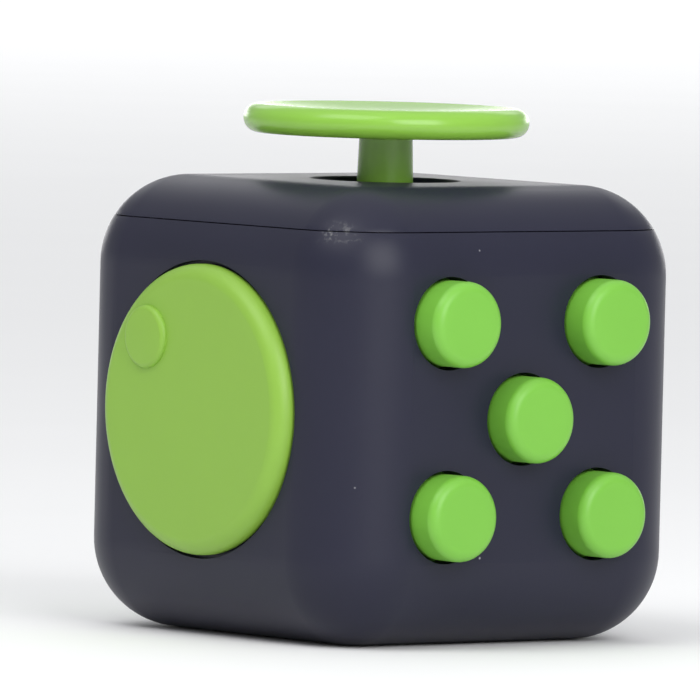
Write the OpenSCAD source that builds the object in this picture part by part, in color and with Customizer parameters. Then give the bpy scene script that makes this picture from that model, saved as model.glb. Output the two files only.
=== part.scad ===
// Six-sided desk fidget cube, as an assembly of its separate pieces.
// +Z is up, through the joystick. The five push buttons face -Y, the spinning dial -X,
// the rollers +X and the rocker switch +Y. The thumb dish is underneath.
// The origin is the centre of the base plane. All sizes are in millimetres.

/* [Body] */
// Side of the cube, from face to face
body_size = 33; // [32:0.5:45]
// Radius of the outside edges
edge_r = 6.5; // [5:0.1:6.8]
// Thickness of the shell walls
wall_t = 2; // [1.8:0.1:2.2]
// Height of the top cover, from its seam to the top face
cover_h = 3.1; // [2.4:0.1:3.2]
// Width of the gap at the cover's seam
seam_gap = 0.06; // [0.04:0.02:0.2]
// Depth of the cover's lip inside the shell
lip_h = 1.5; // [1.5:0.1:2.2]
// Thickness of the cover's lip
lip_t = 1.2; // [1:0.1:1.6]
// Diameter of the thumb dish in the base
dish_d = 19; // [14:0.5:20]
// Depth of the thumb dish
dish_depth = 1.5; // [0.8:0.1:2]

/* [Joystick] */
// Diameter of the joystick's disc
disc_d = 20.8; // [16:0.2:22]
// Thickness of the disc's rounded rim
disc_t = 2.1; // [1.6:0.1:2.6]
// Gap between the top face and the disc
disc_gap = 3.25; // [3:0.05:5]
// Depth of the hollow in the disc's top
disc_hollow = 0.6; // [0.2:0.1:0.9]
// Diameter of the stem where it leaves the cover
stem_d = 4.2; // [3.6:0.1:5]
// Diameter of the stem under the disc
stem_top_d = 3.9; // [3.4:0.1:5]
// Largest tilt on each of the two axes, in degrees
stick_tilt = 10; // [6:1:10]
// Depth of the gimbal's centre below the top face
pivot_depth = 7; // [6.8:0.1:7.6]
// Radius of the dome that closes the cover's hole
dome_r = 5.2; // [5:0.1:5.4]
// Diameter of the round well in the top cover
well_d = 11; // [10:0.5:13]
// Depth of the round well
well_depth = 1.1; // [0.8:0.1:1.2]

/* [Buttons] */
// Diameter of a button
button_d = 6.2; // [5:0.1:7.2]
// Height of a button above its face
button_h = 2.4; // [1.6:0.1:3]
// Radius of a button's rounded edge
button_edge = 0.8; // [0.2:0.05:1]
// Side of the square on which the four outer buttons stand
button_pitch = 13.9; // [13:0.1:14.5]
// Travel of a button
button_travel = 1; // [0.6:0.1:1.1]

/* [Dial] */
// Diameter of the dial
dial_d = 21; // [16:0.2:22]
// Height of the dial above its face
dial_h = 1.2; // [0.8:0.1:1.6]
// Radius of the dial's rounded edge
dial_edge = 1.2; // [0.3:0.1:1.2]
// Diameter of the finger nub on the dial
nub_d = 4.6; // [3:0.1:5]
// Height of the nub above the dial
nub_h = 0.4; // [0.3:0.1:0.8]
// Distance of the nub from the dial's centre
nub_offset = 7.1; // [5:0.1:7.5]
// Depth of the recess that the dial runs in
dial_recess = 0.6; // [0.4:0.1:0.8]

/* [Rocker] */
// Width of the rocker switch
rocker_w = 9; // [7:0.5:10]
// Radius of the rocker's curved ends about its pin
rocker_r = 6.8; // [6:0.1:7]
// Tilt of the rocker to each side, in degrees
rocker_tilt = 9; // [6:1:10]

/* [Rollers] */
// Outside diameter of a roller gear
gear_d = 7.8; // [7:0.1:8]
// Width of a roller gear
gear_w = 2.4; // [2:0.1:2.6]
// Distance between neighbouring gears, centre to centre
gear_pitch = 3.1; // [3:0.05:3.2]
// Diameter of the gears' axle
axle_d = 1.2; // [1:0.1:1.4]
// Diameter of the steel ball
ball_d = 7.8; // [7:0.1:8]
// Height of the ball above its face
ball_h = 1.9; // [1.5:0.1:2.1]
// Travel of the ball when it is pressed
ball_travel = 0.6; // [0.4:0.1:0.8]
// Gap between the gears and the ball's housing, behind the face
roller_gap = 1.3; // [1.1:0.1:1.5]

/* [Fasteners and fits] */
// Diameter of the small screws
screw_d = 1.3; // [1.2:0.1:1.4]
// Diameter of the screw heads
head_d = 2.6; // [2.4:0.1:2.8]
// Height of the screw heads
head_h = 0.9; // [0.7:0.1:1]
// Outside diameter of the screw bosses
boss_d = 3.2; // [3:0.1:3.6]
// Diameter of the hinge pins
pin_d = 1.4; // [1.2:0.1:1.6]
// Radial clearance of pins, axles and screws in their holes
running_fit = 0.05; // [0.02:0.01:0.08]
// Clearance around the buttons, the gears and the ball in the shell
opening_fit = 0.25; // [0.2:0.05:0.4]
// Gap between pieces that lie on each other
seat_gap = 0.03; // [0.02:0.01:0.06]
// Gap behind a wall to a piece that moves
behind_gap = 0.15; // [0.1:0.05:0.3]

/* [Hidden] */
$fn = 64;
half = body_size / 2;
inner_r = edge_r - wall_t;
seam_z = body_size - cover_h;
screw_r = screw_d / 2;
pin_r = pin_d / 2;
hole_r = screw_r + running_fit;
pin_hole_r = pin_r + running_fit;
overlap = 0.4;
plate_t = 1;
boss_h = 0.6;
foot_w = -wall_t - boss_h - seat_gap;
pilot_w = -wall_t / 2;
screw_len = 2.6;

// Half the width of a rounded box's flat-sided outline at a height h above its middle
function outline_at(h, size, r) = let (i = size / 2 - r) i + sqrt(r * r - pow(max(h - i, 0), 2));
mouth = outline_at(seam_z - half, body_size - 2 * wall_t, inner_r);
lip_out = mouth - opening_fit;
catch_out = lip_out + 0.9;
catch_w = 5;
catch_t = 0.7;
dish_sphere_r = (pow(dish_d / 2, 2) + pow(dish_depth, 2)) / (2 * dish_depth);

// Joystick
pivot_z = body_size - pivot_depth;
corner_tilt = acos(pow(cos(stick_tilt), 2));
well_floor_z = body_size - well_depth;
stem_hole_r = stem_d / 2 / cos(corner_tilt) + (well_floor_z - pivot_z) * tan(corner_tilt) + 0.2;
seat_r = dome_r + 0.3;
dome_t = 0.6;
dome_edge_angle = asin(stem_hole_r / seat_r) + corner_tilt + 2;
spigot_r = 1.5;
hub_r = 3.2;
hub_h = 2.8;
hub_neck_h = 0.75;
hub_neck_r = 2.4;
ring_in = 4.6;
ring_out = 6;
ring_h = 2.2;
ear_in = ring_out + 0.4;
ear_t = 1.5;
ear_w = 5;
post_x = 5;
post_y = 7.5;
bracket_z = pivot_z - 3.8;
seat_boss_r = 6.4;
seat_boss_z = pivot_z + 3.2;
stick_screw_top = pivot_z + 3.4;

// Buttons
button_r = button_d / 2;
flange_r = button_r + 1;
flange_t = 1;
flange_w = -wall_t - behind_gap;
plunger_r = 1.5;
plunger_h = 1.15;
key_plate_w = flange_w - flange_t - 2.4;
key_plate_size = 22.8;
key_boss_at = 9.8;
button_spots = [[-1, 1], [1, 1], [0, 0], [-1, -1], [1, -1]] * (button_pitch / 2);
dome_switch_r = 1.7;
dome_switch_h = 0.45;

// Dial
dial_r = dial_d / 2;
dial_under = -dial_recess + behind_gap;
dial_hub_r = 2.6;
hub_bore_r = dial_hub_r + running_fit;
drive_side = 3.2;
wheel_r = 5.6;
wheel_t = 1.2;
wheel_w = -wall_t - behind_gap;
washer_r = 2.5;
washer_t = 0.3;
notch_count = 12;
notch_r = 0.7;
nose_r = 0.55;
leaf_t = 0.25;
leaf_width = 1;
leaf_v = -wheel_r - 1.5;
leaf_eye_u = -7.6;
leaf_end_u = 6.2;
leaf_eye_r = hole_r + leaf_t;
stop_r = 0.5;

// Rocker
rocker_wall = 1;
rocker_pocket_r = rocker_r + 0.2;
rocker_out = rocker_w + 2 * opening_fit + 2 * rocker_wall;
rocker_tall = 2 * rocker_pocket_r + 2;
rocker_pin_w = -2.6;
rocker_floor_w = rocker_pin_w - 3.4;
rocker_low = 0.5;
rocker_nose_w = -1.8;
rocker_flange_u = 13;
rocker_screw_u = rocker_flange_u / 2 - boss_d / 2 - 0.2;
rocker_screw_v = rocker_tall / 2 + head_d / 2 + 0.15;
rocker_flange_v = 2 * rocker_screw_v + boss_d;

// Rollers
gear_r = gear_d / 2;
axle_r = axle_d / 2;
gear_axle_w = -wall_t - axle_r - 0.2;
gear_root_r = gear_r - 0.8;
gear_count = 3;
gear_teeth = 12;
window_u = gear_pitch * (gear_count - 1) + gear_w + 1.4;
cheek_in = window_u / 2 + 0.3;
cheek_t = 1.2;
cheek_v = 4.4;
cheek_top_w = -wall_t - behind_gap;
comb_w = gear_axle_w - gear_r - 0.1;
comb_t = 0.2;
comb_nose_r = 0.3;
comb_base_t = 0.65;
bridge_w = comb_w - comb_base_t - seat_gap;
bridge_t = 0.8;
roller_foot_u = cheek_in + cheek_t + boss_d + 0.2;
roller_screw_u = roller_foot_u - boss_d / 2;
spacer_t = 0.5;

// Ball
ball_r = ball_d / 2;
ball_w = ball_h - ball_r;
race_in = ball_r + 0.08;
race_out = ball_r + 0.7;
race_top = ball_w - 1.4;
race_h = 1.2;
cup_out = race_out + 0.7;
cup_top = -wall_t - behind_gap - 0.25;
cup_base = ball_w - ball_r - 1.1;
housing_in = cup_out + 0.1;
housing_out = housing_in + 0.8;
housing_floor_w = cup_base - 2.6;
roller_stack = 2 * housing_out + roller_gap + 2 * gear_r;
ball_v = housing_out - roller_stack / 2;
gear_v = roller_stack / 2 - gear_r;
housing_foot_u = housing_out + 3;
housing_screw_u = housing_foot_u - boss_d / 2;

// Springs
coil_steps = 12;
coil_sides = 6;
return_coil_r = 2.3;
button_coil_r = 2.4;
ball_coil_r = 3.6;
fine_wire_r = 0.15;
ball_wire_r = 0.2;

// Colours
slate = [0.2, 0.205, 0.25];
green = [0.53, 0.8, 0.33];
dark = [0.1, 0.1, 0.11];
nylon = [0.88, 0.88, 0.85];
steel = [0.72, 0.73, 0.75];
spring_steel = [0.58, 0.59, 0.62];
brass = [0.78, 0.66, 0.36];

// Places a child on a side face: x to the right seen from outside, y up, z outwards.
// A turn of 0 is the button face, 90 the rollers, 180 the rocker and -90 the dial.
module on_face(turn) {
    translate([0, 0, half]) rotate([0, 0, turn]) translate([0, -half, 0]) rotate([90, 0, 0]) children();
}

module at_pivot() {
    translate([0, 0, pivot_z]) children();
}

module rounded_box(size, r) {
    i = size / 2 - r;
    cube([size, 2 * i, 2 * i], center = true);
    cube([2 * i, size, 2 * i], center = true);
    cube([2 * i, 2 * i, size], center = true);
    for (turn = [[0, 0, 0], [90, 0, 0], [0, 90, 0]])
        rotate(turn) four_spots(i, i) cylinder(r = r, h = 2 * i, center = true);
    for (z = [-i, i]) translate([0, 0, z]) four_spots(i, i) sphere(r = r);
}

module four_spots(x, y) {
    for (sx = [-x, x], sy = [-y, y]) translate([sx, sy, 0]) children();
}

module rounded_square(w, d, r) {
    square([w, d - 2 * r], center = true);
    square([w - 2 * r, d], center = true);
    four_spots(w / 2 - r, d / 2 - r) circle(r = r);
}

module tube(outer, inner, h) {
    difference() {
        cylinder(r = outer, h = h);
        translate([0, 0, -1]) cylinder(r = inner, h = h + 2);
    }
}

// A disc from z = 0 to h with a rounded upper edge
module rounded_disc(r, h, edge) {
    rotate_extrude() {
        square([r - edge, h]);
        square([r, h - edge]);
        translate([r - edge, h - edge]) circle(r = edge);
    }
}

// A cylinder along x, centred
module rod_x(r, h) {
    rotate([0, 90, 0]) cylinder(r = r, h = h, center = true);
}

// A cylinder along y, centred
module rod_y(r, h) {
    rotate([90, 0, 0]) cylinder(r = r, h = h, center = true);
}

// A pan-head screw: its head lies below z = 0 and its shank points up
module screw(length) {
    difference() {
        translate([0, 0, -head_h]) cylinder(r = head_d / 2, h = head_h);
        for (turn = [0, 90])
            rotate([0, 0, turn]) translate([0, 0, -head_h]) cube([head_d * 0.6, 0.3, 0.8], center = true);
    }
    translate([0, 0, -0.1]) cylinder(r = screw_r, h = length + 0.1);
}

// A compression spring that stands on z = 0
module coil_spring(mean_r, wire_r, height, turns) {
    rings = turns * coil_steps;
    low = wire_r + seat_gap;
    rise = height - 2 * low;
    points = [
        for (i = [0 : rings], k = [0 : coil_sides - 1])
            let (a = 360 * i / coil_steps, b = 360 * k / coil_sides, r = mean_r + wire_r * cos(b))
                [r * cos(a), r * sin(a), low + rise * i / rings + wire_r * sin(b)]
    ];
    sides = [
        for (i = [0 : rings - 1], k = [0 : coil_sides - 1])
            let (a = i * coil_sides + k, b = i * coil_sides + (k + 1) % coil_sides)
                [a, b, b + coil_sides, a + coil_sides]
    ];
    start = [[for (k = [coil_sides - 1 : -1 : 0]) k]];
    end = [[for (k = [0 : coil_sides - 1]) rings * coil_sides + k]];
    polyhedron(points, concat(sides, start, end));
}

// ---- Shell ----

module shell_boss(tall) {
    translate([0, 0, -wall_t - tall]) cylinder(r = boss_d / 2, h = tall + overlap);
}

module boss_hole(tall) {
    translate([0, 0, -wall_t - tall - 1]) cylinder(r = hole_r, h = wall_t + tall + 1 + pilot_w);
}

module shell_stop() {
    translate([0, 0, -wall_t - leaf_width - 0.4]) cylinder(r = stop_r, h = leaf_width + 0.4 + overlap);
}

module key_boss_spots() {
    for (turn = [0 : 90 : 270]) rotate([0, 0, turn]) translate([key_boss_at, 0, 0]) children();
}

module roller_screw_spots() {
    for (u = [-roller_screw_u, roller_screw_u]) translate([u, gear_v, 0]) children();
}

module ball_screw_spots() {
    for (u = [-housing_screw_u, housing_screw_u]) translate([u, ball_v, 0]) children();
}

module body_shell() {
    key_boss_h = -wall_t - key_plate_w - seat_gap;
    color(slate) difference() {
        union() {
            difference() {
                translate([0, 0, half]) rounded_box(body_size, edge_r);
                translate([0, 0, half]) rounded_box(body_size - 2 * wall_t, inner_r);
                translate([-body_size, -body_size, seam_z]) cube([2 * body_size, 2 * body_size, body_size]);
            }
            intersection() {
                translate([0, 0, dish_depth - dish_sphere_r]) sphere(r = dish_sphere_r + wall_t, $fn = 180);
                translate([0, 0, wall_t / 2]) cylinder(r = dish_d / 2 + wall_t, h = wall_t + dish_depth);
            }
            on_face(0) key_boss_spots() shell_boss(key_boss_h);
            on_face(-90) translate([leaf_eye_u, leaf_v, 0]) shell_boss(boss_h);
            on_face(-90) translate([leaf_end_u - stop_r, leaf_v - leaf_eye_r - stop_r - seat_gap, 0])
                shell_stop();
            on_face(180) four_spots(rocker_screw_u, rocker_screw_v) shell_boss(boss_h);
            on_face(90) roller_screw_spots() shell_boss(boss_h);
            on_face(90) ball_screw_spots() shell_boss(boss_h);
        }
        translate([0, 0, dish_depth - dish_sphere_r]) sphere(r = dish_sphere_r, $fn = 180);
        on_face(0) key_boss_spots() boss_hole(key_boss_h);
        on_face(0) for (spot = button_spots) translate([spot[0], spot[1], -wall_t - 1])
            cylinder(r = button_r + opening_fit, h = wall_t + 2);
        on_face(0) for (spot = button_spots) translate([spot[0], spot[1], flange_w - flange_t])
            cylinder(r = flange_r + opening_fit, h = flange_t + behind_gap);
        on_face(-90) translate([0, 0, -dial_recess]) cylinder(r = dial_r + opening_fit, h = 3);
        on_face(-90) translate([0, 0, -wall_t - 1]) cylinder(r = hub_bore_r, h = wall_t + 2);
        on_face(-90) translate([leaf_eye_u, leaf_v, 0]) boss_hole(boss_h);
        on_face(180) translate([0, 0, -wall_t - 1]) linear_extrude(wall_t + 2)
            rounded_square(rocker_out + 2 * seat_gap, rocker_tall + 2 * seat_gap, 1);
        on_face(180) four_spots(rocker_screw_u, rocker_screw_v) boss_hole(boss_h);
        on_face(90) translate([0, gear_v, gear_axle_w]) rod_x(gear_r + opening_fit, window_u);
        on_face(90) roller_screw_spots() boss_hole(boss_h);
        on_face(90) translate([0, ball_v, ball_w]) sphere(r = ball_r + opening_fit);
        on_face(90) ball_screw_spots() boss_hole(boss_h);
    }
}

module top_cover() {
    color(slate) difference() {
        union() {
            difference() {
                translate([0, 0, half]) rounded_box(body_size, edge_r);
                translate([0, 0, half]) rounded_box(body_size - 2 * wall_t, inner_r);
                translate([-body_size, -body_size, -1])
                    cube([2 * body_size, 2 * body_size, seam_z + seam_gap + 1]);
            }
            translate([0, 0, seam_z - lip_h]) linear_extrude(lip_h + seam_gap + overlap) lip_outline();
            for (turn = [0 : 90 : 270]) rotate([0, 0, turn])
                translate([lip_out - overlap / 2, -catch_w / 2, seam_z - lip_h])
                    cube([catch_out - lip_out + overlap / 2, catch_w, catch_t]);
            translate([0, 0, seat_boss_z])
                cylinder(r = seat_boss_r, h = body_size - wall_t - seat_boss_z + overlap);
            four_spots(post_x, post_y) translate([0, 0, bracket_z + plate_t + seat_gap])
                cylinder(r = boss_d / 2 - 0.1, h = body_size - wall_t - bracket_z - plate_t);
        }
        at_pivot() sphere(r = seat_r);
        at_pivot() cylinder(r = stem_hole_r, h = body_size);
        translate([0, 0, well_floor_z]) cylinder(r1 = well_d / 2 - 0.8, r2 = well_d / 2, h = well_depth);
        translate([0, 0, body_size]) cylinder(r = well_d / 2, h = 1);
        four_spots(post_x, post_y) translate([0, 0, bracket_z])
            cylinder(r = hole_r, h = plate_t + screw_len + 0.5);
    }
}

module lip_outline() {
    corner_r = edge_r - wall_t;
    difference() {
        rounded_square(2 * lip_out, 2 * lip_out, corner_r);
        rounded_square(2 * (lip_out - lip_t), 2 * (lip_out - lip_t), corner_r - lip_t);
    }
}

// ---- Joystick ----

module joystick_cap() {
    disc_z = body_size + disc_gap;
    rim_r = disc_t / 2;
    web_r = disc_d / 2 - rim_r;
    hollow_r = (pow(web_r, 2) + pow(disc_hollow, 2)) / (2 * disc_hollow);
    shoulder_z = pivot_z + dome_r + seat_gap;
    color(green) difference() {
        union() {
            translate([0, 0, disc_z]) rotate_extrude($fn = 120) difference() {
                union() {
                    square([web_r, disc_t]);
                    translate([web_r, rim_r]) circle(r = rim_r, $fn = 48);
                }
                translate([0, disc_t - disc_hollow + hollow_r]) circle(r = hollow_r, $fn = 360);
            }
            translate([0, 0, shoulder_z])
                cylinder(r1 = stem_d / 2, r2 = stem_top_d / 2, h = disc_z - shoulder_z + rim_r / 2);
            translate([0, 0, pivot_z + hub_h / 2 - overlap + seat_gap])
                cylinder(r = spigot_r, h = shoulder_z - pivot_z - hub_h / 2 + 2 * overlap - seat_gap);
        }
        at_pivot() cylinder(r = hole_r, h = stick_screw_top - pivot_z + 0.3);
    }
}

module joystick_dome() {
    edge_h = dome_r * cos(dome_edge_angle);
    color(dark) at_pivot() difference() {
        union() {
            difference() {
                sphere(r = dome_r);
                sphere(r = dome_r - dome_t);
                translate([-10, -10, -20 + edge_h]) cube(20);
            }
            translate([0, 0, hub_h / 2 + hub_neck_h + seat_gap])
                cylinder(r = hub_neck_r, h = dome_r - dome_t / 2 - hub_h / 2 - hub_neck_h - seat_gap);
            translate([0, 0, dome_r - dome_t]) cylinder(r = hub_neck_r, h = dome_t / 2);
        }
        cylinder(r = spigot_r + seat_gap, h = 2 * dome_r);
    }
}

module joystick_hub() {
    color(dark) at_pivot() difference() {
        union() {
            translate([0, 0, -hub_h / 2]) cylinder(r = hub_r, h = hub_h);
            cylinder(r = hub_neck_r, h = hub_h / 2 + hub_neck_h);
        }
        translate([0, 0, hub_h / 2 - overlap]) cylinder(r = spigot_r + seat_gap, h = hub_h);
        translate([0, 0, -hub_h]) cylinder(r = hole_r, h = 2 * hub_h);
        translate([0, 0, -hub_h]) cylinder(r = head_d / 2 + 0.2, h = hub_h / 2 + head_h + seat_gap);
        for (side = [-1, 1]) translate([side * (hub_r + 0.65), 0, 0]) rod_x(pin_hole_r, 3.9 - running_fit);
    }
}

module joystick_screw() {
    head_top = pivot_z - hub_h / 2 + head_h;
    color(steel) translate([0, 0, head_top]) screw(stick_screw_top - head_top);
}

module joystick_pins() {
    color(steel) at_pivot() for (side = [-1, 1])
        translate([side * (ring_out + hub_r - 1.2) / 2, 0, 0]) rod_x(pin_r, ring_out - hub_r + 1.1);
}

module gimbal_ring() {
    color(nylon) at_pivot() difference() {
        translate([0, 0, -ring_h / 2]) tube(ring_out, ring_in, ring_h);
        rod_x(pin_hole_r, 3 * ring_out);
        rod_y(pin_hole_r, 3 * ring_out);
    }
}

module gimbal_ring_pins() {
    pin_in = ring_in + 0.2;
    pin_out = ear_in + ear_t;
    color(steel) at_pivot() for (side = [-1, 1])
        translate([0, side * (pin_in + pin_out) / 2, 0]) rod_y(pin_r, pin_out - pin_in);
}

module gimbal_bracket() {
    color(dark) difference() {
        union() {
            translate([0, 0, bracket_z]) linear_extrude(plate_t)
                rounded_square(2 * post_x + boss_d, 2 * post_y + boss_d, boss_d / 2);
            for (side = [-1, 1]) translate([0, side * (ear_in + ear_t / 2), 0]) {
                translate([0, 0, (bracket_z + pivot_z) / 2])
                    cube([ear_w, ear_t, pivot_z - bracket_z], center = true);
                at_pivot() rod_y(ear_w / 2, ear_t);
            }
        }
        at_pivot() rod_y(pin_hole_r, 4 * ring_out);
        four_spots(post_x, post_y) translate([0, 0, bracket_z - 1]) cylinder(r = hole_r, h = plate_t + 2);
    }
}

module gimbal_bracket_screws() {
    color(steel) four_spots(post_x, post_y) translate([0, 0, bracket_z - seat_gap])
        screw(plate_t + screw_len);
}

module joystick_return_spring() {
    low = bracket_z + plate_t;
    color(spring_steel) translate([0, 0, low])
        coil_spring(return_coil_r, fine_wire_r, pivot_z - hub_h / 2 - low, 2);
}

// ---- Buttons ----

module on_button(i) {
    on_face(0) translate([button_spots[i][0], button_spots[i][1], 0]) children();
}

module push_button(i) {
    color(green) on_button(i) {
        translate([0, 0, flange_w - overlap])
            rounded_disc(button_r, button_h - flange_w + overlap, button_edge);
        translate([0, 0, flange_w - flange_t]) cylinder(r = flange_r, h = flange_t);
        translate([0, 0, flange_w - flange_t - plunger_h]) cylinder(r = plunger_r, h = plunger_h + overlap);
    }
}

module button_spring(i) {
    color(spring_steel) on_button(i) translate([0, 0, key_plate_w])
        coil_spring(button_coil_r, fine_wire_r, flange_w - flange_t - key_plate_w, 3);
}

module snap_dome(i) {
    r = (pow(dome_switch_r, 2) + pow(dome_switch_h, 2)) / (2 * dome_switch_h);
    color(steel) on_button(i) translate([0, 0, key_plate_w + seat_gap]) difference() {
        intersection() {
            translate([0, 0, dome_switch_h - r]) sphere(r = r, $fn = 120);
            cylinder(r = 2 * dome_switch_r, h = r);
        }
        translate([0, 0, dome_switch_h - r]) sphere(r = r - 0.12, $fn = 120);
    }
}

module button_upper_left() push_button(0);
module button_upper_right() push_button(1);
module button_centre() push_button(2);
module button_lower_left() push_button(3);
module button_lower_right() push_button(4);
module button_spring_upper_left() button_spring(0);
module button_spring_upper_right() button_spring(1);
module button_spring_centre() button_spring(2);
module button_spring_lower_left() button_spring(3);
module button_spring_lower_right() button_spring(4);
module snap_dome_upper_left() snap_dome(0);
module snap_dome_centre() snap_dome(2);
module snap_dome_lower_right() snap_dome(4);

module button_back_plate() {
    color(dark) on_face(0) difference() {
        translate([0, 0, key_plate_w - plate_t]) linear_extrude(plate_t)
            rounded_square(key_plate_size, key_plate_size, 2);
        key_boss_spots() translate([0, 0, key_plate_w - plate_t - 1]) cylinder(r = hole_r, h = plate_t + 2);
    }
}

module button_plate_screws() {
    color(steel) on_face(0) key_boss_spots()
        translate([0, 0, key_plate_w - plate_t - seat_gap]) screw(plate_t + screw_len);
}

// ---- Dial ----

module spin_dial() {
    drive_end = wheel_w - wheel_t - seat_gap;
    color(green) on_face(-90) difference() {
        union() {
            translate([0, 0, dial_under]) rotate_extrude($fn = 120) {
                square([dial_r - dial_edge, dial_h - dial_under]);
                square([dial_r, dial_h - dial_under - dial_edge]);
                translate([dial_r - dial_edge, dial_h - dial_under - dial_edge]) intersection() {
                    circle(r = dial_edge, $fn = 48);
                    translate([-overlap, -overlap]) square(dial_edge + 2 * overlap);
                }
            }
            rotate([0, 0, 45]) translate([0, nub_offset, dial_h - overlap])
                rounded_disc(nub_d / 2, nub_h + overlap, nub_h);
            translate([0, 0, wheel_w]) cylinder(r = dial_hub_r, h = dial_under - wheel_w + overlap);
            translate([0, 0, (drive_end + dial_under) / 2])
                cube([drive_side, drive_side, dial_under - drive_end], center = true);
        }
        translate([0, 0, drive_end - 1]) cylinder(r = hole_r, h = dial_under - drive_end + 1);
    }
}

module dial_detent_wheel() {
    hole = drive_side + 2 * running_fit;
    color(nylon) on_face(-90) translate([0, 0, wheel_w - wheel_t]) difference() {
        cylinder(r = wheel_r, h = wheel_t - seat_gap);
        for (i = [0 : notch_count - 1]) rotate([0, 0, 360 * i / notch_count])
            translate([wheel_r, 0, -1]) cylinder(r = notch_r, h = wheel_t + 2);
        cube([hole, hole, 4 * wheel_t], center = true);
    }
}

module dial_washer() {
    color(steel) on_face(-90) translate([0, 0, wheel_w - wheel_t - 2 * seat_gap - washer_t])
        tube(washer_r, hole_r, washer_t);
}

module dial_screw() {
    head_top = wheel_w - wheel_t - 3 * seat_gap - washer_t;
    color(steel) on_face(-90) translate([0, 0, head_top]) screw(dial_under - head_top - 0.2);
}

module dial_detent_spring() {
    nose_v = -wheel_r - 0.05;
    color(spring_steel) on_face(-90) translate([0, 0, -wall_t - boss_h - seat_gap - leaf_width])
        linear_extrude(leaf_width) difference() {
            union() {
                translate([leaf_eye_u, leaf_v]) circle(r = leaf_eye_r);
                translate([leaf_eye_u, leaf_v - leaf_eye_r]) square([leaf_end_u - leaf_eye_u, leaf_t]);
                translate([0, nose_v]) circle(r = nose_r);
                translate([-nose_r, leaf_v - leaf_eye_r]) square([2 * nose_r, nose_v - leaf_v + leaf_eye_r]);
            }
            translate([leaf_eye_u, leaf_v]) circle(r = hole_r);
        }
}

module detent_spring_screw() {
    color(steel) on_face(-90)
        translate([leaf_eye_u, leaf_v, -wall_t - boss_h - leaf_width - 2 * seat_gap]) screw(leaf_width + 1.4);
}

// ---- Rocker ----

module rocker_switch() {
    end_rise = rocker_low + rocker_r * tan(rocker_tilt);
    color(green) on_face(180) translate([0, 0, rocker_pin_w]) rotate([rocker_tilt, 0, 0])
        rotate([90, 0, 90]) linear_extrude(rocker_w, center = true) difference() {
            intersection() {
                circle(r = rocker_r, $fn = 120);
                polygon([
                    [-rocker_r, end_rise - rocker_pin_w], [0, rocker_low - rocker_pin_w],
                    [rocker_r, end_rise - rocker_pin_w], [rocker_r, 0.9], [1.8, -0.6],
                    [0.6, rocker_nose_w], [-0.6, rocker_nose_w], [-1.8, -0.6], [-rocker_r, 0.9]
                ]);
            }
            circle(r = pin_hole_r);
        }
}

module rocker_pin() {
    color(steel) on_face(180) translate([0, 0, rocker_pin_w]) rod_x(pin_r, rocker_out - 0.3);
}

module rocker_frame() {
    color(slate) on_face(180) difference() {
        union() {
            translate([0, 0, rocker_floor_w - plate_t]) linear_extrude(plate_t - rocker_floor_w)
                rounded_square(rocker_out, rocker_tall, 0.9);
            translate([0, 0, foot_w - plate_t]) linear_extrude(plate_t)
                rounded_square(rocker_flange_u, rocker_flange_v, 1.6);
        }
        intersection() {
            translate([0, 0, rocker_pin_w]) rod_x(rocker_pocket_r, rocker_w + 2 * opening_fit);
            translate([-rocker_w, -rocker_tall, rocker_floor_w]) cube([2 * rocker_w, 2 * rocker_tall, 20]);
        }
        translate([0, 0, rocker_pin_w]) rod_x(pin_hole_r, rocker_out + 2);
        four_spots(rocker_screw_u, rocker_screw_v)
            translate([0, 0, foot_w - plate_t - 1]) cylinder(r = hole_r, h = plate_t + 2);
    }
}

module rocker_leaf_spring() {
    span = 4.6;
    crown = 1.45;
    bow_r = (span * span + crown * crown) / (2 * crown);
    color(spring_steel) on_face(180) translate([0, 0, rocker_floor_w + seat_gap])
        rotate([90, 0, 90]) linear_extrude(3, center = true) intersection() {
            difference() {
                translate([0, crown - bow_r]) circle(r = bow_r, $fn = 180);
                translate([0, crown - bow_r]) circle(r = bow_r - 0.2, $fn = 180);
            }
            translate([-span, 0]) square([2 * span, 2]);
        }
}

module rocker_frame_screws() {
    color(steel) on_face(180) four_spots(rocker_screw_u, rocker_screw_v)
        translate([0, 0, foot_w - plate_t - seat_gap]) screw(plate_t + boss_h + 0.8);
}

// ---- Roller gears ----

module on_axle() {
    on_face(90) translate([0, gear_v, gear_axle_w]) children();
}

module roller_gear(i) {
    tooth_root = 1.3;
    tooth_tip = 0.9;
    color(green) on_axle() translate([(i - 1) * gear_pitch, 0, 0]) rotate([90, 0, 90])
        linear_extrude(gear_w, center = true) difference() {
            union() {
                circle(r = gear_root_r);
                intersection() {
                    circle(r = gear_r);
                    for (t = [0 : gear_teeth - 1]) rotate(360 * (t + 0.5) / gear_teeth) polygon([
                        [gear_root_r - overlap, -tooth_root / 2], [gear_r + 0.1, -tooth_tip / 2],
                        [gear_r + 0.1, tooth_tip / 2], [gear_root_r - overlap, tooth_root / 2]
                    ]);
                }
            }
            circle(r = axle_r + running_fit);
        }
}

module roller_gear_left() roller_gear(0);
module roller_gear_middle() roller_gear(1);
module roller_gear_right() roller_gear(2);

module roller_axle() {
    color(steel) on_axle() rod_x(axle_r, 2 * (cheek_in + cheek_t) - 0.2);
}

module roller_spacers() {
    first = -(gear_pitch * gear_count) / 2;
    color(nylon) on_axle() for (i = [0 : gear_count])
        translate([first + i * gear_pitch, 0, 0]) rotate([0, 90, 0]) translate([0, 0, -spacer_t / 2])
            tube(axle_r + 0.6, axle_r + running_fit, spacer_t);
}

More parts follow.
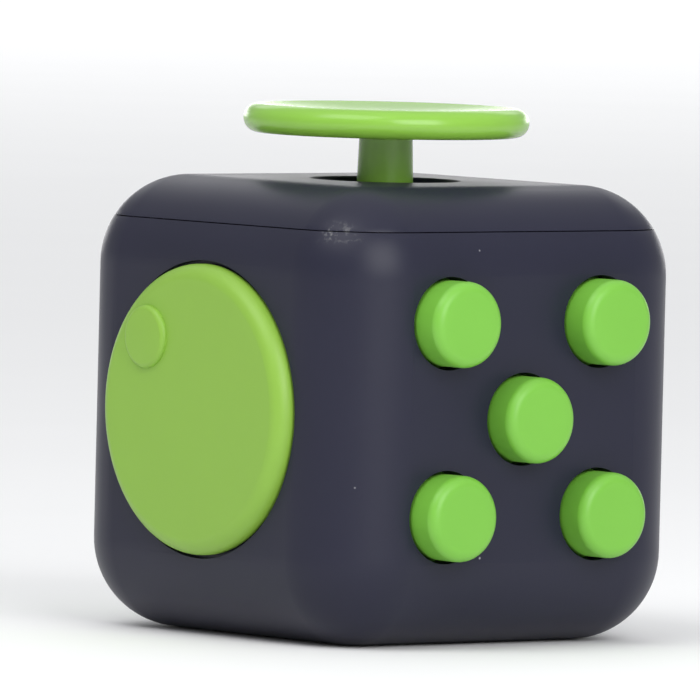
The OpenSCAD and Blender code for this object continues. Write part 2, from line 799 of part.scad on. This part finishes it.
module roller_carrier() {
    cheek_mid = cheek_in + cheek_t / 2;
    color(dark) on_face(90) difference() {
        union() {
            for (side = [-1, 1]) translate([side * cheek_mid, gear_v, (cheek_top_w + bridge_w) / 2])
                cube([cheek_t, cheek_v, cheek_top_w - bridge_w], center = true);
            translate([0, gear_v, bridge_w - bridge_t / 2])
                cube([2 * (cheek_in + cheek_t), cheek_v, bridge_t], center = true);
            for (side = [-1, 1])
                translate([side * (cheek_in + roller_foot_u) / 2, gear_v, foot_w - plate_t / 2])
                    cube([roller_foot_u - cheek_in, cheek_v, plate_t], center = true);
        }
        translate([0, gear_v, gear_axle_w]) rod_x(axle_r + running_fit, 4 * cheek_in);
        translate([0, gear_v, gear_axle_w / 2])
            cube([4 * cheek_in, 2 * (axle_r + running_fit), -gear_axle_w], center = true);
        roller_screw_spots() translate([0, 0, foot_w - plate_t - 1]) cylinder(r = hole_r, h = plate_t + 2);
    }
}

module roller_detent_comb() {
    comb_low = -cheek_v / 2 + 0.1;
    color(spring_steel) on_face(90) translate([0, gear_v, 0]) {
        translate([-cheek_in + 0.2, comb_low, comb_w - comb_base_t])
            cube([2 * cheek_in - 0.4, 0.7, comb_base_t]);
        for (i = [0 : gear_count - 1]) translate([(i - 1) * gear_pitch, 0, 0]) {
            translate([-0.6, comb_low, comb_w - comb_t]) cube([1.2, 0.3 - comb_low, comb_t]);
            translate([0, 0, comb_w + comb_nose_r + 0.1]) rod_x(comb_nose_r, 1.2);
            translate([-0.6, -0.2, comb_w - comb_t / 2]) cube([1.2, 0.4, comb_t / 2 + 0.3]);
        }
    }
}

module roller_carrier_screws() {
    color(steel) on_face(90) roller_screw_spots()
        translate([0, 0, foot_w - plate_t - seat_gap]) screw(plate_t + boss_h + 0.8);
}

// ---- Ball ----

module on_ball() {
    on_face(90) translate([0, ball_v, 0]) children();
}

module steel_ball() {
    color(steel) on_ball() translate([0, 0, ball_w]) sphere(r = ball_r);
}

module ball_race() {
    color(nylon) on_ball() difference() {
        translate([0, 0, race_top - race_h]) cylinder(r = race_out, h = race_h);
        translate([0, 0, ball_w]) sphere(r = race_in);
    }
}

module ball_cup() {
    color(dark) on_ball() difference() {
        translate([0, 0, cup_base]) cylinder(r = cup_out, h = cup_top - cup_base);
        translate([0, 0, race_top - race_h - seat_gap]) cylinder(r = race_out + running_fit, h = 10);
        translate([0, 0, ball_w]) sphere(r = ball_r + 0.2);
    }
}

module ball_spring() {
    color(spring_steel) on_ball() translate([0, 0, housing_floor_w])
        coil_spring(ball_coil_r, ball_wire_r, cup_base - housing_floor_w, 3);
}

module ball_housing() {
    color(dark) on_ball() difference() {
        union() {
            translate([0, 0, housing_floor_w - plate_t])
                cylinder(r = housing_out, h = foot_w - housing_floor_w + plate_t);
            translate([0, 0, foot_w - plate_t / 2])
                cube([2 * housing_foot_u, cheek_v, plate_t], center = true);
        }
        translate([0, 0, housing_floor_w]) cylinder(r = housing_in, h = 20);
        for (u = [-housing_screw_u, housing_screw_u])
            translate([u, 0, foot_w - plate_t - 1]) cylinder(r = hole_r, h = plate_t + 2);
    }
}

module ball_housing_screws() {
    color(steel) on_face(90) ball_screw_spots()
        translate([0, 0, foot_w - plate_t - seat_gap]) screw(plate_t + boss_h + 0.8);
}

body_shell();
top_cover();
joystick_cap();
joystick_dome();
joystick_hub();
joystick_screw();
joystick_pins();
gimbal_ring();
gimbal_ring_pins();
gimbal_bracket();
gimbal_bracket_screws();
joystick_return_spring();
button_upper_left();
button_upper_right();
button_centre();
button_lower_left();
button_lower_right();
button_spring_upper_left();
button_spring_upper_right();
button_spring_centre();
button_spring_lower_left();
button_spring_lower_right();
snap_dome_upper_left();
snap_dome_centre();
snap_dome_lower_right();
button_back_plate();
button_plate_screws();
spin_dial();
dial_detent_wheel();
dial_washer();
dial_screw();
dial_detent_spring();
detent_spring_screw();
rocker_switch();
rocker_pin();
rocker_frame();
rocker_leaf_spring();
rocker_frame_screws();
roller_gear_left();
roller_gear_middle();
roller_gear_right();
roller_axle();
roller_spacers();
roller_carrier();
roller_detent_comb();
roller_carrier_screws();
steel_ball();
ball_race();
ball_cup();
ball_spring();
ball_housing();
ball_housing_screws();
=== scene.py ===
import math

import bmesh
import bpy
from mathutils import Matrix, Vector


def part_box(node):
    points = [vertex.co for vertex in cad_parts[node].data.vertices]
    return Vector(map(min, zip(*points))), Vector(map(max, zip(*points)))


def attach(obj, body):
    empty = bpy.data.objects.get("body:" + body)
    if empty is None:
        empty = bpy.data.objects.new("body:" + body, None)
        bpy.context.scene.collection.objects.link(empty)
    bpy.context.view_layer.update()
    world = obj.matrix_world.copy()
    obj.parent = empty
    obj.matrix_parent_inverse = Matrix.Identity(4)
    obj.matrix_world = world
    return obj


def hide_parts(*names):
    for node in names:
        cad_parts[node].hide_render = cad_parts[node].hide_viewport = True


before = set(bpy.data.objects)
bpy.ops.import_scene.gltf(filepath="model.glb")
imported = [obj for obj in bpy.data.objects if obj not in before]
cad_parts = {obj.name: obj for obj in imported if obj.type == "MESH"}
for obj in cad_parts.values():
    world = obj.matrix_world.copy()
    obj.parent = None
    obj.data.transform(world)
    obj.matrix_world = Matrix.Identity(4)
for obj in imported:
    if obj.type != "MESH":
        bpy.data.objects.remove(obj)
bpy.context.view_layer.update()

mm = 0.001


def boxInMm(node):
    return [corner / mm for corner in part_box(node)]


shellLow, shellHigh = boxInMm("body_shell")
cubeHalf = (shellHigh.x - shellLow.x) / 2
cubeMiddle = Vector((0, 0, cubeHalf))
seamHeight = shellHigh.z
lipHeight = boxInMm("top_cover")[0].z


# Place of a side face, in millimetres: x to the right seen from outside, y up, z outwards
def facePlace(turn):
    return (Matrix.Translation(cubeMiddle) @ Matrix.Rotation(math.radians(turn), 4, "Z")
            @ Matrix.Translation((0, -cubeHalf, 0)) @ Matrix.Rotation(math.radians(90), 4, "X"))


buttonFace, dialFace = facePlace(0), facePlace(-90)


# Direction away from the cube, by angles in radians
def outwards(azimuth, elevation):
    return Vector((math.sin(azimuth) * math.cos(elevation),
                   -math.cos(azimuth) * math.cos(elevation), math.sin(elevation)))


# The camera stands well back and a little above the lid, turned towards the dial's side
cameraView = {"azimuth": -38.8, "elevation": 2.89, "roll": 1.4, "distance": 1090, "lens": 771,
              "sensor": 36, "nearest": 50, "farthest": 40000, "aimRight": -2.14, "aimUp": 4.07}


def makeCamera(view):
    azimuth, elevation, roll = [math.radians(view[key]) for key in ("azimuth", "elevation", "roll")]
    back = outwards(azimuth, elevation)
    level = Vector((math.cos(azimuth), math.sin(azimuth), 0))
    turn = Matrix.Rotation(roll, 3, back)
    right = turn @ level
    up = turn @ back.cross(level)
    aim = cubeMiddle + right * view["aimRight"] + up * view["aimUp"]
    camera = bpy.data.objects.new("camera", bpy.data.cameras.new("camera"))
    bpy.context.scene.collection.objects.link(camera)
    camera.matrix_world = (Matrix.Translation((aim + back * view["distance"]) * mm)
                           @ Matrix((right, up, back)).transposed().to_4x4())
    camera.data.lens = view["lens"]
    camera.data.sensor_width = view["sensor"]
    camera.data.clip_start = view["nearest"] * mm
    camera.data.clip_end = view["farthest"] * mm
    bpy.context.scene.camera = camera


makeCamera(cameraView)
print("camera placed")


class Value:
    # A link in a finish, so that maths on it reads as plain Python
    def __init__(self, finish, socket):
        self.finish = finish
        self.socket = socket

    def maths(self, operation, first, second):
        return self.finish.node("ShaderNodeMath", {"operation": operation}, {0: first, 1: second})

    def __add__(self, other):
        return self.maths("ADD", self, other)

    def __sub__(self, other):
        return self.maths("SUBTRACT", self, other)

    def __rsub__(self, other):
        return self.maths("SUBTRACT", other, self)

    def __mul__(self, other):
        return self.maths("MULTIPLY", self, other)

    def size(self):
        return self.maths("ABSOLUTE", self, 0)

    def least(self, other):
        return self.maths("MINIMUM", self, other)

    __radd__ = __add__
    __rmul__ = __mul__


class Nodes:
    # A node tree, with one way to add any node to it
    def __init__(self, owner):
        owner.use_nodes = True
        self.tree = owner.node_tree

    def node(self, kind, settings=None, inputs=None, output=0):
        made = self.tree.nodes.new(kind)
        for key, value in (settings or {}).items():
            setattr(made, key, value)
        for socket, value in (inputs or {}).items():
            self.feed(made.inputs[socket], value)
        return Value(self, made.outputs[output])

    def feed(self, socket, value):
        if isinstance(value, Value):
            self.tree.links.new(value.socket, socket)
        else:
            socket.default_value = value

    def parts(self, vector):
        apart = self.node("ShaderNodeSeparateXYZ", inputs={0: vector}).socket.node
        return [Value(self, axis) for axis in apart.outputs]


class Finish(Nodes):
    # A material, its shader and the few patterns that the finishes share
    def __init__(self, name, metallic=0.0):
        self.material = bpy.data.materials.new(name)
        super().__init__(self.material)
        self.shader = self.tree.nodes["Principled BSDF"]
        self.shader.inputs["Metallic"].default_value = metallic
        self.place = self.node("ShaderNodeTexCoord", output="Object")

    def set(self, socket, value):
        self.feed(self.shader.inputs[socket], value)

    # Soft noise with features of about the given size in millimetres
    def noise(self, size, detail=2, stretch=None):
        place = self.place
        if stretch:
            place = self.node("ShaderNodeMapping", inputs={"Vector": place, "Scale": stretch})
        return self.node("ShaderNodeTexNoise", inputs={
            "Vector": place, "Scale": 1 / (size * mm), "Detail": detail})

    # 0 below low, 1 above high, smooth between
    def step(self, value, low, high):
        return self.node("ShaderNodeMapRange", {"interpolation_type": "SMOOTHSTEP"},
                         {0: value, 1: low, 2: high, 3: 0.0, 4: 1.0})

    def blend(self, factor, first, second):
        return self.node("ShaderNodeMix", {"data_type": "RGBA"},
                         {0: factor, 6: (*first, 1) if isinstance(first, tuple) else first,
                          7: (*second, 1) if isinstance(second, tuple) else second}, output=2)

    # Small pale specks of dust, a few on each face
    def specks(self, size, apart):
        cells = self.node("ShaderNodeTexVoronoi", inputs={
            "Vector": self.place, "Scale": 1 / (apart * mm)})
        return 1 - self.step(cells, size / apart * patterns["speckCore"], size / apart)

    # Pale rubbing along the seam, where the upright edges meet it
    def cornerScuffs(self, look):
        x, y, z = self.parts(self.place)
        near = 1 - self.step((z - seamHeight * mm).size(), look["core"] * mm, look["tall"] * mm)
        inwards = (x.size() - look["aside"] * mm).least(y.size())
        corner = self.step(inwards, look["from"] * mm, look["full"] * mm)
        return near * corner * self.step(self.noise(look["size"], detail=5), look["faint"], look["strong"])

    def relief(self, height, depth):
        return self.node("ShaderNodeBump", inputs={"Height": height, "Distance": depth * mm})


# How much the grain, the dust and the scuffs change the roughness, and how much of a speck is solid
patterns = {"grain": 0.06, "dust": 0.3, "scuff": 0.2, "speckCore": 0.6}
noiseMean = 0.5

# Satin mouldings: fine spark-eroded grain, cloudy tone and sheen, and dust where the surface is dark
slateLook = {"colour": (0.0165, 0.017, 0.033), "pale": (0.0205, 0.021, 0.04), "dust": (0.3, 0.3, 0.33),
             "roughness": 0.38, "spread": 0.1, "specular": 0.26, "grain": 0.11, "depth": 0.004, "cloud": 9,
             "speck": 0.14, "speckApart": 4.2}
darkLook = {"colour": (0.012, 0.012, 0.013), "pale": (0.02, 0.02, 0.021), "roughness": 0.5, "spread": 0.12,
            "grain": 0.14, "depth": 0.005, "cloud": 3}
greenLook = {"colour": (0.173, 0.472, 0.047), "pale": (0.186, 0.502, 0.052), "roughness": 0.4, "spread": 0.1,
             "grain": 0.13, "depth": 0.003, "cloud": 5}
# The dial's copy of the satin green, retinted yellower for the sheen and dimmer light on its side face:
# painted light
dialRelitLook = {"colour": (0.24, 0.45, 0.05), "pale": (0.251, 0.468, 0.054), "roughness": 0.42, "spread": 0.1,
            "grain": 0.13, "depth": 0.003, "cloud": 6}
glossLook = {"colour": (0.24, 0.5, 0.056), "pale": (0.255, 0.525, 0.062), "roughness": 0.24, "spread": 0.08,
             "grain": 0.3, "depth": 0.002, "cloud": 4}
nylonLook = {"colour": (0.7, 0.69, 0.62), "pale": (0.78, 0.77, 0.71), "roughness": 0.55, "spread": 0.1,
             "grain": 0.2, "depth": 0.004, "cloud": 2}
scuffLook = {"tall": 0.95, "core": 0.1, "size": 0.4, "aside": 2, "from": 11.3, "full": 12.8,
             "faint": 0.5, "strong": 0.66, "pale": (0.15, 0.15, 0.16)}


def makeMoulding(name, look, scuffs=None):
    finish = Finish(name)
    clouds = finish.noise(look["cloud"], detail=3)
    grain = finish.noise(look["grain"])
    colour = finish.blend(clouds, look["colour"], look["pale"])
    rough = look["roughness"] + look["spread"] * (clouds - noiseMean)
    rough = rough + patterns["grain"] * (grain - noiseMean)
    if "speck" in look:
        dust = finish.specks(look["speck"], look["speckApart"])
        colour = finish.blend(dust, colour, look["dust"])
        rough = rough + patterns["dust"] * dust
    if scuffs:
        rubbed = finish.cornerScuffs(scuffs)
        colour = finish.blend(rubbed, colour, scuffs["pale"])
        rough = rough + patterns["scuff"] * rubbed
    finish.set("Base Color", colour)
    finish.set("Roughness", rough)
    finish.set("Specular IOR Level", look.get("specular", 0.5))
    finish.set("Normal", finish.relief(grain, look["depth"]))
    return finish.material


# Metals: the marks of grinding or drawing run one way, over a cloudy tone
screwLook = {"colour": (0.5, 0.51, 0.54), "pale": (0.66, 0.66, 0.64), "roughness": 0.34, "spread": 0.16,
             "mark": 0.12, "stretch": (1, 1, 1), "depth": 0.003, "cloud": 0.9}
pinLook = {"colour": (0.56, 0.56, 0.57), "pale": (0.66, 0.66, 0.66), "roughness": 0.24, "spread": 0.1,
           "mark": 0.08, "stretch": (0.2, 0.2, 3), "depth": 0.002, "cloud": 2}
springLook = {"colour": (0.33, 0.33, 0.35), "pale": (0.47, 0.46, 0.45), "roughness": 0.36, "spread": 0.12,
              "mark": 0.1, "stretch": (3, 3, 0.4), "depth": 0.002, "cloud": 1.2}
ballLook = {"colour": (0.6, 0.6, 0.61), "pale": (0.68, 0.68, 0.68), "roughness": 0.1, "spread": 0.1,
            "mark": 0.25, "stretch": (0.3, 4, 1), "depth": 0.0004, "cloud": 3}


def makeMetal(name, look):
    finish = Finish(name, metallic=1.0)
    clouds = finish.noise(look["cloud"], detail=3)
    marks = finish.noise(look["mark"], detail=3, stretch=look["stretch"])
    finish.set("Base Color", finish.blend(clouds, look["colour"], look["pale"]))
    finish.set("Roughness", look["roughness"] + look["spread"] * (clouds * marks - noiseMean ** 2))
    finish.set("Normal", finish.relief(marks, look["depth"]))
    return finish.material


finishes = {
    "body_plastic": makeMoulding("slateShellPlastic", slateLook, scuffLook),
    "dark_plastic": makeMoulding("darkInnerPlastic", darkLook),
    "satin_green": makeMoulding("satinGreenPlastic", greenLook),
    "gloss_green": makeMoulding("glossGreenPlastic", glossLook),
    "white_nylon": makeMoulding("whiteNylon", nylonLook),
    "screw_steel": makeMetal("zincScrewSteel", screwLook),
    "pin_steel": makeMetal("groundPinSteel", pinLook),
    "spring_steel": makeMetal("drawnSpringSteel", springLook),
    "polished_steel": makeMetal("polishedBallSteel", ballLook),
}
# Same plastic as the buttons; the dial's separate copy paints the different light on its face
dialRelitGreen = makeMoulding("dialRelitGreenPlastic", dialRelitLook)
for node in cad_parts.values():
    for place in node.material_slots:
        place.material = finishes[place.material.name]
print("finishes made")

# How copies of CAD pieces are cleaned, in millimetres and degrees, and from what angle an edge is hard
meshCare = {"merge": 0.001, "flat": 0.3, "hard": 35, "sharp": 33, "spinMerge": 0.0005}


# Shapes are worked in millimetres and shrunk to metres as the last step
def startFrom(node):
    mesh = bmesh.new()
    mesh.from_mesh(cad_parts[node].data)
    bmesh.ops.scale(mesh, vec=(1 / mm,) * 3, verts=mesh.verts)
    bmesh.ops.remove_doubles(mesh, verts=mesh.verts, dist=meshCare["merge"])
    bmesh.ops.dissolve_limit(mesh, angle_limit=math.radians(meshCare["flat"]), use_dissolve_boundaries=False,
                             verts=mesh.verts, edges=mesh.edges)
    return mesh


def soften(mesh, width, wanted, segments=3):
    edges = [edge for edge in mesh.edges if len(edge.link_faces) == 2
             and edge.calc_face_angle(0) > math.radians(meshCare["hard"]) and wanted(edge)]
    bmesh.ops.bevel(mesh, geom=edges, offset=width, offset_type="OFFSET", segments=segments, profile=0.5,
                    affect="EDGES", material=-1, clamp_overlap=True)


class Outline:
    # Half of a section, drawn point by point in the x-z plane and then turned about z
    def __init__(self, x, z):
        self.mesh = bmesh.new()
        self.end = self.mesh.verts.new((x, 0, z))

    def line(self, x, z):
        start, self.end = self.end, self.mesh.verts.new((x, 0, z))
        self.mesh.edges.new((start, self.end))
        return self

    # An arc about (x, z), anticlockwise where degrees is positive
    def arc(self, x, z, degrees, steps):
        made = bmesh.ops.spin(self.mesh, geom=[self.end], cent=(x, 0, z), axis=(0, -1, 0),
                              angle=math.radians(degrees), steps=steps)
        self.end = next(last for last in made["geom_last"] if isinstance(last, bmesh.types.BMVert))
        return self

    def turned(self, steps=128):
        bmesh.ops.spin(self.mesh, geom=self.mesh.verts[:] + self.mesh.edges[:], cent=(0, 0, 0),
                       axis=(0, 0, 1), angle=2 * math.pi, steps=steps, use_merge=True)
        bmesh.ops.remove_doubles(self.mesh, verts=self.mesh.verts, dist=meshCare["spinMerge"])
        bmesh.ops.recalc_face_normals(self.mesh, faces=self.mesh.faces)
        return self.mesh


def addPiece(name, mesh, body, slot, nodes, place=None, finish=None):
    if place:
        bmesh.ops.transform(mesh, matrix=place, verts=mesh.verts)
    bmesh.ops.scale(mesh, vec=(mm,) * 3, verts=mesh.verts)
    data = bpy.data.meshes.new(name)
    mesh.to_mesh(data)
    mesh.free()
    data.shade_smooth()
    data.set_sharp_from_angle(angle=math.radians(meshCare["sharp"]))
    data.materials.append(finish or finishes[slot])
    piece = bpy.data.objects.new(name, data)
    bpy.context.scene.collection.objects.link(piece)
    evened = piece.modifiers.new("evenShading", "WEIGHTED_NORMAL")
    evened.keep_sharp = True
    evened.weight = 100
    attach(piece, body)
    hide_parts(*nodes)


# Shell and lid: the moulded walls with their bosses, every outside rim slightly rounded
shellShape = {"edge": 6.5, "rim": 0.12, "seam": 0.06, "skin": 0.03, "seamZone": 0.25}


# How far a point lies outside the cube's rounded skin, in millimetres
def aboveSkin(point):
    core = cubeHalf - shellShape["edge"]
    away = [abs(along) - core for along in point - cubeMiddle]
    return Vector([max(along, 0) for along in away]).length + min(max(away), 0) - shellShape["edge"]


def onSkin(edge):
    return all(abs(aboveSkin(vert.co)) < shellShape["skin"] for vert in edge.verts)


def atSeam(edge):
    return all(min(abs(vert.co.z - seamHeight), abs(vert.co.z - lipHeight)) < shellShape["seamZone"]
               for vert in edge.verts)


def makeShell(name, node):
    mesh = startFrom(node)
    soften(mesh, shellShape["rim"], lambda edge: onSkin(edge) and not atSeam(edge))
    soften(mesh, shellShape["seam"], lambda edge: onSkin(edge) and atSeam(edge), segments=2)
    addPiece(name, mesh, "shell", "body_plastic", [node])


makeShell("bodyShell", "body_shell")
makeShell("topCover", "top_cover")
print("shell and lid made")

# Joystick cap: a wide hollowed disc with a full round rim, on its stem, with a spigot and screw bore below
capShape = {"rim": 1.05, "hollow": 0.6, "stemTop": 1.95, "stemFoot": 2.1, "root": 0.35,
            "shoulder": 31.23, "spigot": 1.5, "bore": 0.7, "boreTop": 29.7, "boreTip": 0.3, "break": 0.1,
            "footBreak": 0.08}


def makeJoystickCap(shape):
    low, high = boxInMm("joystick_cap")
    outer = (high.x - low.x) / 2
    web = outer - shape["rim"]
    under = high.z - 2 * shape["rim"]
    bowl = (web ** 2 + shape["hollow"] ** 2) / (2 * shape["hollow"])
    slope = math.degrees(math.asin(web / bowl))
    spigot, foot, shoulder = shape["spigot"], shape["stemFoot"], shape["shoulder"]
    outline = Outline(0, shape["boreTop"]).line(shape["bore"], shape["boreTop"] - shape["boreTip"])
    outline.line(shape["bore"], low.z).line(spigot - shape["break"], low.z)
    outline.line(spigot, low.z + shape["break"]).line(spigot, shoulder)
    outline.line(foot - shape["footBreak"], shoulder).line(foot, shoulder + shape["footBreak"])
    outline.line(shape["stemTop"], under - shape["root"])
    outline.arc(shape["stemTop"] + shape["root"], under - shape["root"], -90, 6)
    outline.line(web, under).arc(web, under + shape["rim"], 180, 24)
    outline.arc(0, high.z - shape["hollow"] + bowl, -slope, 32)
    addPiece("joystickCap", outline.turned(160), "joystick", "gloss_green", ["joystick_cap"])


makeJoystickCap(capShape)
print("joystick cap made")

# Buttons: a round key with a broad soft edge, its flange inside the wall, and its plunger
buttonShape = {"edge": 0.8, "flange": 1.0, "behind": 2.15, "flangeStep": 1.0, "plunger": 1.5, "lift": 1.15,
               "break": 0.1, "plungerBreak": 0.15}


def makeButton(name):
    low, high = boxInMm("button_" + name)
    middle = (low + high) / 2
    flange = (high.x - low.x) / 2
    radius = flange - buttonShape["flangeStep"]
    top = -cubeHalf - low.y
    flangeTop = -buttonShape["behind"]
    flangeLow = flangeTop - buttonShape["flange"]
    end = flangeLow - buttonShape["lift"]
    edge, plunger = buttonShape["edge"], buttonShape["plunger"]
    rim, tip = buttonShape["break"], buttonShape["plungerBreak"]
    outline = Outline(0, end).line(plunger - tip, end).line(plunger, end + tip).line(plunger, flangeLow)
    outline.line(flange - rim, flangeLow).line(flange, flangeLow + rim)
    outline.line(flange, flangeTop - rim).line(flange - rim, flangeTop).line(radius, flangeTop)
    outline.line(radius, top - edge).arc(radius - edge, top - edge, 90, 12).line(0, top)
    place = buttonFace @ Matrix.Translation((middle.x, middle.z - cubeHalf, 0))
    addPiece("button" + name.title().replace("_", ""), outline.turned(96), "button_" + name, "satin_green",
             ["button_" + name], place)


for spot in ("upper_left", "upper_right", "centre", "lower_left", "lower_right"):
    makeButton(spot)
print("buttons made")

# Dial: a thin disc with a broad soft edge and a low finger nub, on a hub with a square end
dialShape = {"edge": 1.2, "recess": 0.45, "nub": 2.3, "nubRise": 0.4, "nubOut": 7.1, "nubTurn": 45,
             "hub": 2.6, "hubEnd": -2.15, "drive": 3.2, "break": 0.15, "nubRoot": 0.3, "hubRoot": 0.1}


def makeDial(shape):
    low, high = boxInMm("spin_dial")
    radius = (high.y - low.y) / 2
    top = -cubeHalf - low.x - shape["nubRise"]
    edge, under, nubSide = shape["edge"], -shape["recess"], shape["nub"]
    outline = Outline(0, under).line(radius - shape["break"], under).line(radius, under + shape["break"])
    outline.line(radius, top - edge).arc(radius - edge, top - edge, 90, 16).line(0, top)
    mesh = outline.turned(160)
    root = top - shape["nubRoot"]
    nub = Outline(0, root).line(nubSide, root).line(nubSide, top)
    nub.arc(nubSide - shape["nubRise"], top, 90, 8).line(0, top + shape["nubRise"])
    nubMesh = nub.turned(64)
    turn = math.radians(shape["nubTurn"])
    bmesh.ops.translate(nubMesh, verts=nubMesh.verts,
                        vec=(-shape["nubOut"] * math.sin(turn), shape["nubOut"] * math.cos(turn), 0))
    root = under + shape["hubRoot"]
    hub = Outline(0, shape["hubEnd"]).line(shape["hub"], shape["hubEnd"]).line(shape["hub"], root)
    hubMesh = hub.line(0, root).turned(64)
    side, end = shape["drive"], -cubeHalf - high.x
    driveMesh = bmesh.new()
    bmesh.ops.create_cube(driveMesh, size=1)
    bmesh.ops.scale(driveMesh, vec=(side, side, under - end), verts=driveMesh.verts)
    bmesh.ops.translate(driveMesh, vec=(0, 0, (end + under) / 2), verts=driveMesh.verts)
    for extra in (nubMesh, hubMesh, driveMesh):
        joined = bpy.data.meshes.new("joined")
        extra.to_mesh(joined)
        mesh.from_mesh(joined)
        extra.free()
        bpy.data.meshes.remove(joined)
    # the dial wears the retinted copy of the satin green, a painted lighting difference
    addPiece("spinDial", mesh, "dial", "satin_green", ["spin_dial"], dialFace, dialRelitGreen)


makeDial(dialShape)
print("dial made")

# Smaller mouldings and turned pieces: their own shapes with every hard edge broken.
# For each, the CAD piece, its body, its finish and the width of the broken edge
smallPieces = {
    "joystickDome": ("joystick_dome", "joystick", "dark_plastic", 0.08),
    "rockerSwitch": ("rocker_switch", "rocker", "satin_green", 0.3),
    "rockerFrame": ("rocker_frame", "shell", "body_plastic", 0.12),
    "gearLeft": ("roller_gear_left", "gear_left", "satin_green", 0.14),
    "gearMiddle": ("roller_gear_middle", "gear_middle", "satin_green", 0.14),
    "gearRight": ("roller_gear_right", "gear_right", "satin_green", 0.14),
    "rollerAxle": ("roller_axle", "shell", "pin_steel", 0.1),
    "rollerSpacers": ("roller_spacers", "shell", "white_nylon", 0.06),
}
for name, (node, body, slot, rim) in smallPieces.items():
    mesh = startFrom(node)
    soften(mesh, rim, lambda edge: True)
    addPiece(name, mesh, body, slot, [node])
print("small mouldings made")


def makeBall():
    low, high = boxInMm("steel_ball")
    radius = (high.z - low.z) / 2
    ball = Outline(0, -radius).arc(0, 0, 180, 64).turned(128)
    middle = Matrix.Translation((low + high) / 2)
    addPiece("steelBall", ball, "ball", "polished_steel", ["steel_ball"], middle)


makeBall()
print("ball made")


# Soft studio: a pale floor, big soft lights and a bright room. The floor's side is in metres
floorLook = {"side": 12, "drop": 0.02, "colour": (0.93, 0.93, 0.93), "dull": 0.98, "cloud": 40,
             "roughness": 0.9}


def makeFloor(look):
    grid = bmesh.new()
    bmesh.ops.create_grid(grid, x_segments=1, y_segments=1, size=look["side"] / 2)
    bmesh.ops.translate(grid, vec=(0, 0, -look["drop"] * mm), verts=grid.verts)
    sheet = bpy.data.meshes.new("floor")
    grid.to_mesh(sheet)
    grid.free()
    floor = bpy.data.objects.new("floor", sheet)
    bpy.context.scene.collection.objects.link(floor)
    finish = Finish("paleFloor")
    finish.set("Roughness", look["roughness"])
    duller = tuple(look["dull"] * part for part in look["colour"])
    finish.set("Base Color", finish.blend(finish.noise(look["cloud"]), look["colour"], duller))
    sheet.materials.append(finish.material)


makeFloor(floorLook)

# Soft boxes by azimuth and elevation round the cube, in degrees; distances, sizes and aims in millimetres.
# The last one hangs over the floor behind the cube and keeps it as pale as the floor in front
softBoxes = {
    "frontBox": {"azimuth": -12, "elevation": 26, "distance": 450, "size": (280, 280), "watts": 1.1},
    "leftBox": {"azimuth": -80, "elevation": 54, "distance": 700, "size": (480, 380), "watts": 1.6},
    "backPanel": {"azimuth": 141, "elevation": 4.6, "distance": 3000, "size": (3000, 470), "watts": 12},
    "farFloorBox": {"azimuth": 141, "elevation": 25, "distance": 2100, "size": (1600, 1400), "watts": 7,
                    "aim": (1196, 1477, 0)},
}
skyLook = {"level": 0.45, "rise": 0.6, "colour": (0.97, 0.98, 1.0, 1.0)}


def addSoftBox(name, look):
    away = outwards(math.radians(look["azimuth"]), math.radians(look["elevation"]))
    lamp = bpy.data.lights.new(name, "AREA")
    lamp.shape = "RECTANGLE"
    lamp.size, lamp.size_y = [side * mm for side in look["size"]]
    lamp.energy = look["watts"]
    box = bpy.data.objects.new(name, lamp)
    bpy.context.scene.collection.objects.link(box)
    place = cubeMiddle + away * look["distance"]
    box.location = place * mm
    box.rotation_euler = (Vector(look.get("aim", cubeMiddle)) - place).to_track_quat("-Z", "Y").to_euler()
    box.visible_camera = False


for name, look in softBoxes.items():
    addSoftBox(name, look)


# The room is brighter overhead than at the horizon, so that the floor is pale and the sides stay dark
def lightRoom(look):
    world = bpy.data.worlds.new("studioRoom")
    bpy.context.scene.world = world
    room = Nodes(world)
    height = room.parts(room.node("ShaderNodeTexCoord", output="Generated"))[2]
    background = room.tree.nodes["Background"]
    room.feed(background.inputs["Color"], look["colour"])
    room.feed(background.inputs["Strength"], look["level"] + look["rise"] * height * height * height * height)


lightRoom(skyLook)
bpy.context.scene.view_settings.view_transform = "Standard"
print("studio lit")
